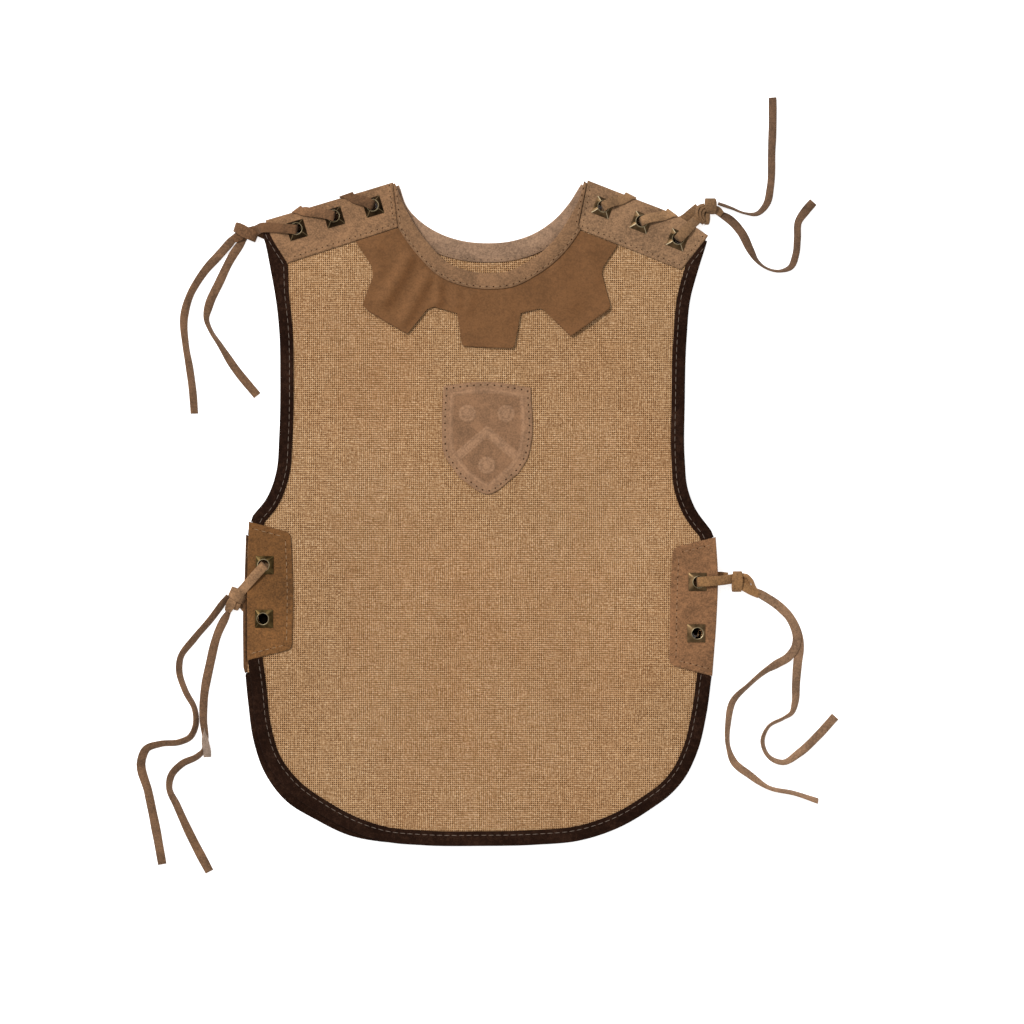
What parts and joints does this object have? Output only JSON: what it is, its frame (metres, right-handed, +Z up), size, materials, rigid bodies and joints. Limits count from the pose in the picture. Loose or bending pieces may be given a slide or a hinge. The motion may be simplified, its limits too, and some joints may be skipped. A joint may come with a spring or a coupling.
{
  "type": "knight costume tabard",
  "caption": "Child's sleeveless knight tabard laid flat: hessian front and back with dark binding, suede collar, shield patch and laced suede tabs at shoulders and sides.",
  "frame": {"origin": "on the surface the garment lies on, under the middle of the garment without its free lace tails", "axes": "+Z up from the surface, +Y from the hem towards the neck, +X to the right as the front is looked down on"},
  "size_m": [0.5627, 0.6227, 0.0168],
  "materials": {
    "hessian": "coarse plain weave",
    "binding": "matt tape",
    "light_suede": "napped",
    "brown_suede": "napped",
    "thong_suede": "napped",
    "antique_brass": "antique"
  },
  "bodies": {
    "root": {"back_binding_hem": "binding", "back_binding_left_armhole": "binding", "back_binding_right_armhole": "binding", "back_eyelet_shoulder_left_1": "antique_brass", "back_eyelet_shoulder_left_2": "antique_brass", "back_eyelet_shoulder_left_3": "antique_brass", "back_eyelet_shoulder_right_1": "antique_brass", "back_eyelet_shoulder_right_2": "antique_brass", "back_eyelet_shoulder_right_3": "antique_brass", "back_eyelet_side_left_1": "antique_brass", "back_eyelet_side_left_2": "antique_brass", "back_eyelet_side_right_1": "antique_brass", "back_eyelet_side_right_2": "antique_brass", "back_neckband": "light_suede", "back_panel": "hessian", "back_tab_shoulder_left": "light_suede", "back_tab_shoulder_right": "light_suede", "back_tab_side_left": "light_suede", "back_tab_side_right": "light_suede", "dagged_collar": "brown_suede", "front_binding_hem": "binding", "front_binding_left_armhole": "binding", "front_binding_right_armhole": "binding", "front_eyelet_shoulder_left_1": "antique_brass", "front_eyelet_shoulder_left_2": "antique_brass", "front_eyelet_shoulder_left_3": "antique_brass", "front_eyelet_shoulder_right_1": "antique_brass", "front_eyelet_shoulder_right_2": "antique_brass", "front_eyelet_shoulder_right_3": "antique_brass", "front_eyelet_side_left_1": "antique_brass", "front_eyelet_side_left_2": "antique_brass", "front_eyelet_side_right_1": "antique_brass", "front_eyelet_side_right_2": "antique_brass", "front_neckband": "light_suede", "front_panel": "hessian", "front_tab_shoulder_left": "light_suede", "front_tab_shoulder_right": "light_suede", "front_tab_side_left": "light_suede", "front_tab_side_right": "light_suede", "knot_shoulder_left": "thong_suede", "knot_shoulder_right": "thong_suede", "knot_side_left": "thong_suede", "knot_side_right": "thong_suede", "lace_shoulder_left": "thong_suede", "lace_shoulder_right": "thong_suede", "lace_side_left": "thong_suede", "lace_side_right": "thong_suede", "shield_patch": "light_suede", "tail_shoulder_left_a": "thong_suede", "tail_shoulder_left_b": "thong_suede", "tail_shoulder_right_a": "thong_suede", "tail_shoulder_right_b": "thong_suede", "tail_side_left_a": "thong_suede", "tail_side_left_b": "thong_suede", "tail_side_right_a": "thong_suede", "tail_side_right_b": "thong_suede"}
  },
  "joints": []
}
